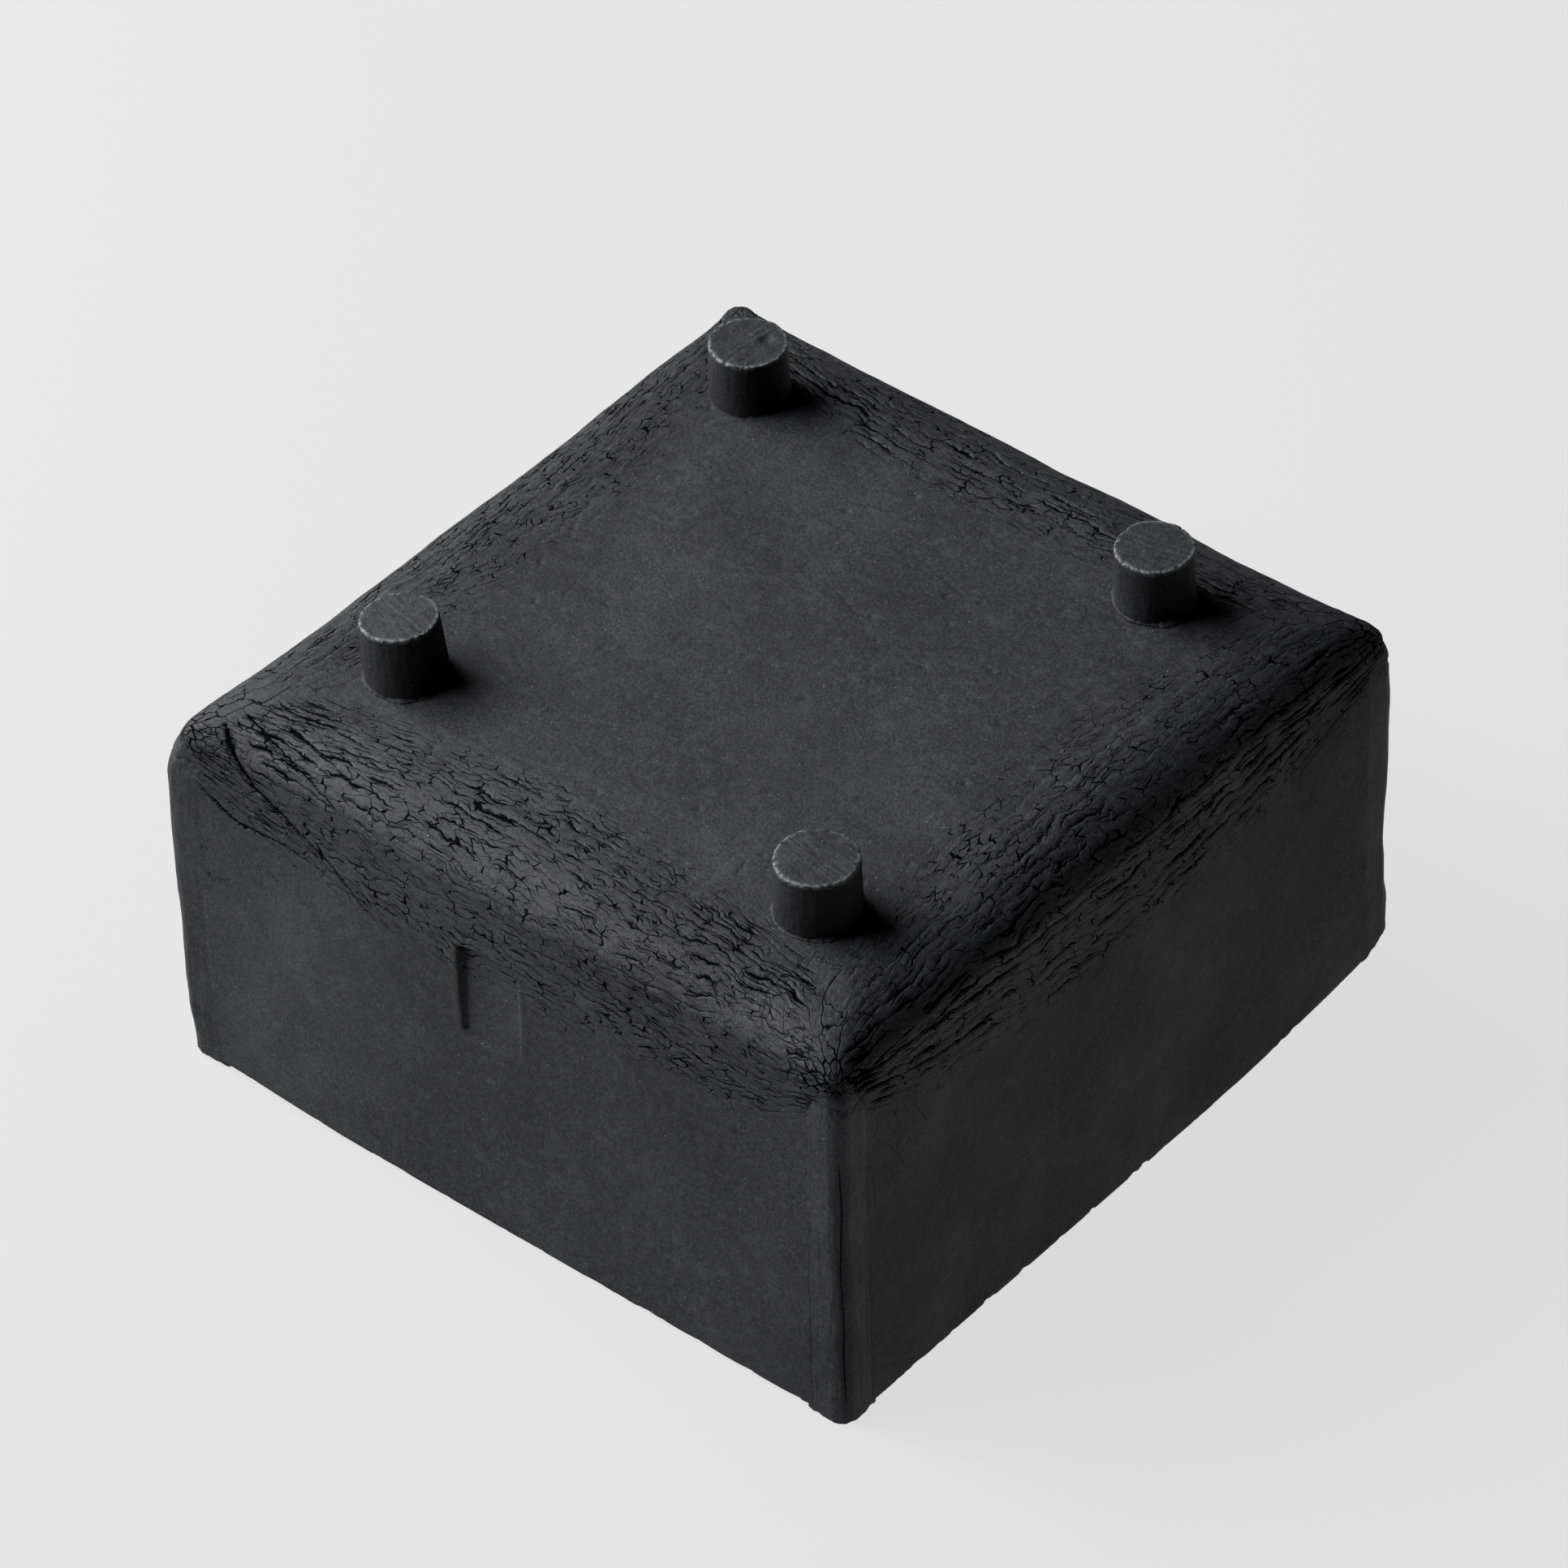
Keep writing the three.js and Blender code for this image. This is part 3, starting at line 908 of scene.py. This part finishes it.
def cell_mask(nodes, name):
    """Walls of flat cells, darkened as painted shade: the mark holds the place among the cells and the half
    width of the walls.
    """
    mark = nodes.mark(name).outputs["Vector"]
    cells = nodes.tree.nodes.new("ShaderNodeTexVoronoi")
    cells.voronoi_dimensions = "2D"
    cells.feature = "DISTANCE_TO_EDGE"
    cells.inputs["Scale"].default_value = 1.0
    nodes.link(mark, cells.inputs["Vector"])
    width = nodes.parts(mark)[2]
    return nodes.ramp(nodes.math("SUBTRACT", cells.outputs["Distance"], width), -0.02, 0.035, 1.0, 0.0)


def clay(name, marked=(), drawn=0.0, light=1.0, rough=0.66):
    nodes = Nodes(name)
    nodes.shader.inputs["Specular IOR Level"].default_value = SPECULAR
    nodes.shader.inputs["IOR"].default_value = 1.45
    cloud = nodes.ramp(nodes.noise(46.0, 4.0, 0.55), 0.34, 0.68)
    patch = nodes.ramp(nodes.noise(13.0, 4.0, 0.6), 0.35, 0.72)
    grain = nodes.noise(0.8, 4.0, 0.8)
    powder = nodes.ramp(nodes.noise(2.6, 4.0, 0.65), 0.45, 0.8)
    tone = nodes.math("ADD", nodes.math("MULTIPLY", cloud, 0.5), nodes.math("MULTIPLY", patch, 0.3))
    tone = nodes.math("ADD", tone, nodes.math("MULTIPLY", nodes.math("SUBTRACT", grain, 0.5), 6.5))
    tone = nodes.math("MULTIPLY", tone, light, clamp=True)
    colour = nodes.blend(tone, CLAY_DARK, CLAY_LIGHT)
    colour = nodes.blend(nodes.math("MULTIPLY", powder, 0.34), colour, CLAY_PALE)
    if "dust_and_painted_light" in marked:
        # partly dust, partly painted light: paler clay on the left of the stamped wall and along its fold
        broken = nodes.ramp(grain, 0.25, 0.75, 0.35, 1.0)
        dust_and_painted_light = nodes.math("MULTIPLY", nodes.mark("dust_and_painted_light").outputs["Fac"], broken)
        colour = nodes.blend(nodes.math("MULTIPLY", dust_and_painted_light, 0.55), colour, CLAY_PALE)
    if "painted_flank_shade" in marked:
        # painted shade: the sides of the feet are darkened towards black
        painted_flank_shade = nodes.mark("painted_flank_shade").outputs["Fac"]
        colour = nodes.blend(nodes.math("MULTIPLY", painted_flank_shade, 0.55), colour, SHADE_AND_GROG_BLACK)
    # pale and dark grains of grog
    distance, cell = nodes.specks(1.3)
    chance = nodes.parts(cell)
    small, larger = (nodes.ramp(distance, low, high, 1.0, 0.0) for low, high in ((0.05, 0.13), (0.08, 0.2)))
    pale = nodes.math("MULTIPLY", small, nodes.ramp(chance[0], 0.86, 0.90))
    colour = nodes.blend(nodes.math("MULTIPLY", pale, 0.75), colour, GROG_PALE)
    dark = nodes.math("MULTIPLY", larger, nodes.ramp(chance[1], 0.88, 0.92))
    colour = nodes.blend(nodes.math("MULTIPLY", dark, 0.7), colour, SHADE_AND_GROG_BLACK)
    # a burnished sheen where hands and tools rubbed it
    gloss = nodes.math("MULTIPLY", cloud, -0.08)
    roughness = nodes.math("ADD", nodes.math("ADD", gloss, rough), nodes.math("MULTIPLY", patch, 0.08))
    height = nodes.math("ADD", nodes.math("MULTIPLY", grain, 0.7), nodes.math("MULTIPLY", dark, -0.6))
    normal = nodes.bump(height, 0.55, 0.7)
    if drawn:
        lines = nodes.noise(1.2, 4.0, 0.65, stretch=(1.0, 1.0, 0.09), distortion=0.6)
        normal = nodes.bump(lines, 0.35, drawn, normal)
        streak = nodes.ramp(lines, 0.45, 0.75)
        colour = nodes.blend(nodes.math("MULTIPLY", streak, 0.10), colour, CLAY_PALE)
    if "edge" in marked:
        # wear and painted highlight: the rim of each foot's cut end is lightened in patches
        edge = nodes.mark("edge").outputs["Fac"]
        worn_and_lit_edge = nodes.math("MULTIPLY", edge, nodes.ramp(nodes.noise(1.1, 3.0, 0.6), 0.35, 0.62))
        colour = nodes.blend(nodes.math("MULTIPLY", worn_and_lit_edge, 0.8, clamp=True), colour, WORN_EDGE_AND_HIGHLIGHT)
    jitter = nodes.math("MULTIPLY", nodes.math("SUBTRACT", nodes.noise(0.7, 2.0, 0.6), 0.5), 0.30)
    total = None
    for crack in marked:
        if not crack.startswith(("crack", "cells")):
            continue
        mask = cell_mask(nodes, crack) if crack.startswith("cells") else crack_mask(nodes, crack, jitter)
        total = mask if total is None else nodes.math("MAXIMUM", total, mask)
    if total is not None:
        # painted shade inside the cracks: no reflection there, and the colour darkened towards black
        nodes.link(nodes.ramp(total, 0.0, 1.0, SPECULAR, 0.0), nodes.shader.inputs["Specular IOR Level"])
        colour = nodes.blend(nodes.math("MULTIPLY", total, 0.92), colour, SHADE_AND_GROG_BLACK)
        normal = nodes.bump(nodes.math("MULTIPLY", total, -1.0), 0.25, 0.7, normal)
        roughness = nodes.math("ADD", roughness, nodes.math("MULTIPLY", total, 0.3), clamp=True)
    nodes.link(colour, nodes.shader.inputs["Base Color"])
    nodes.link(roughness, nodes.shader.inputs["Roughness"])
    nodes.link(normal, nodes.shader.inputs["Normal"])
    return nodes.material


# ---------------------------------------------------------------- pieces

def make_piece(name, built, material, replaced):
    points, faces, marks = built
    mesh = bpy.data.meshes.new(name)
    mesh.vertices.add(len(points))
    mesh.vertices.foreach_set("co", (points * MM).astype(np.float32).ravel())
    mesh.loops.add(len(faces) * 3)
    mesh.loops.foreach_set("vertex_index", faces.astype(np.int32).ravel())
    mesh.polygons.add(len(faces))
    mesh.polygons.foreach_set("loop_start", np.arange(0, len(faces) * 3, 3, dtype=np.int32))
    mesh.update(calc_edges=True)
    mesh.validate()
    mesh.polygons.foreach_set("use_smooth", np.ones(len(faces), dtype=bool))
    for key, values in marks.items():
        kind = "FLOAT_VECTOR" if values.ndim == 2 else "FLOAT"
        attribute = mesh.attributes.new(key, kind, "POINT")
        field = "vector" if values.ndim == 2 else "value"
        attribute.data.foreach_set(field, values.astype(np.float32).ravel())
    piece = bpy.data.objects.new(name, mesh)
    bpy.context.scene.collection.objects.link(piece)
    mesh.materials.append(material)
    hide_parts(replaced)
    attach(piece, "root")
    return piece


body_material = clay("black_clay", marked=("crack_major", "crack_minor", "cells_fine", "cells_craze", "dust_and_painted_light"))
make_piece("slab_with_folds", build_body(), body_material, "folded_slab")
seam_material = clay("drawn_clay", marked=("crack_major",), drawn=0.25, light=1.05, rough=0.60)
foot_material = clay("foot_clay", marked=("edge", "painted_flank_shade"), drawn=0.12, light=0.9, rough=0.64)
slip_material = clay("dry_slip", light=0.8, rough=0.7)
for number, corner_name in enumerate(CORNER_NAMES):
    make_piece("seam_strip_" + corner_name, build_seam(number), seam_material,
               "corner_seam_" + corner_name)
    make_piece("cut_foot_" + corner_name, build_foot(corner_name, number + 1), foot_material,
               "foot_" + corner_name)
    make_piece("slip_bead_" + corner_name, build_slip(corner_name, number + 1), slip_material,
               "foot_slip_" + corner_name)


# ---------------------------------------------------------------- floor, lights and camera

def add_floor():
    mesh = bpy.data.meshes.new("studio_floor")
    size = 3.0
    corners = [(-size, -size, 0), (size, -size, 0), (size, size, 0), (-size, size, 0)]
    mesh.from_pydata(corners, [], [(0, 1, 2, 3)])
    floor = bpy.data.objects.new("studio_floor", mesh)
    bpy.context.scene.collection.objects.link(floor)
    material = bpy.data.materials.new("studio_white")
    material.use_nodes = True
    shader = material.node_tree.nodes["Principled BSDF"]
    shader.inputs["Base Color"].default_value = (0.035, 0.035, 0.035, 1.0)
    shader.inputs["Emission Color"].default_value = (1.0, 1.0, 1.0, 1.0)
    shader.inputs["Emission Strength"].default_value = 0.70
    shader.inputs["Roughness"].default_value = 0.9
    shader.inputs["Specular IOR Level"].default_value = 0.0
    mesh.materials.append(material)


def add_area(name, place, target, size, power):
    light = bpy.data.lights.new(name, "AREA")
    light.shape = "RECTANGLE"
    light.size, light.size_y = size
    light.energy = power
    lamp = bpy.data.objects.new(name, light)
    lamp.location = place
    lamp.rotation_euler = (Vector(target) - Vector(place)).to_track_quat("-Z", "Y").to_euler()
    bpy.context.scene.collection.objects.link(lamp)


def add_world(strength):
    world = bpy.data.worlds.new("studio")
    world.use_nodes = True
    world.node_tree.nodes["Background"].inputs["Color"].default_value = (1.0, 1.0, 1.0, 1.0)
    world.node_tree.nodes["Background"].inputs["Strength"].default_value = strength
    bpy.context.scene.world = world


# degrees from the front, above the table and about the line of sight; the other lengths are millimetres
CAMERA = {"azimuth": 41.505, "elevation": 41.528, "roll": -2.191, "distance": 2145.84, "lens": 236.43,
          "target": (0.0, 0.0, 50.0), "side_shift": -1.41, "up_shift": 8.92}


def add_camera():
    azimuth, elevation, roll = (math.radians(CAMERA[k]) for k in ("azimuth", "elevation", "roll"))
    level = math.cos(elevation)
    back = Vector((math.sin(azimuth) * level, -math.cos(azimuth) * level, math.sin(elevation)))
    right = Vector((math.cos(azimuth), math.sin(azimuth), 0.0))
    up = back.cross(right)
    rolled_right = right * math.cos(roll) + up * math.sin(roll)
    rolled_up = up * math.cos(roll) - right * math.sin(roll)
    place = Vector(CAMERA["target"]) + back * CAMERA["distance"]
    place += rolled_right * CAMERA["side_shift"] + rolled_up * CAMERA["up_shift"]
    data = bpy.data.cameras.new("camera")
    data.lens = CAMERA["lens"]
    data.sensor_width = 36.0
    data.clip_end = 20.0
    camera = bpy.data.objects.new("camera", data)
    turn = Matrix((rolled_right, rolled_up, back)).transposed().to_4x4()
    camera.matrix_world = Matrix.Translation(place * MM) @ turn
    bpy.context.scene.collection.objects.link(camera)
    bpy.context.scene.camera = camera


add_floor()
add_world(0.004)
add_area("key_left", (-0.88, -0.34, 0.72), (0.0, 0.0, 0.05), (1.15, 1.15), 70.0)
add_camera()
bpy.context.scene.view_settings.view_transform = "Standard"
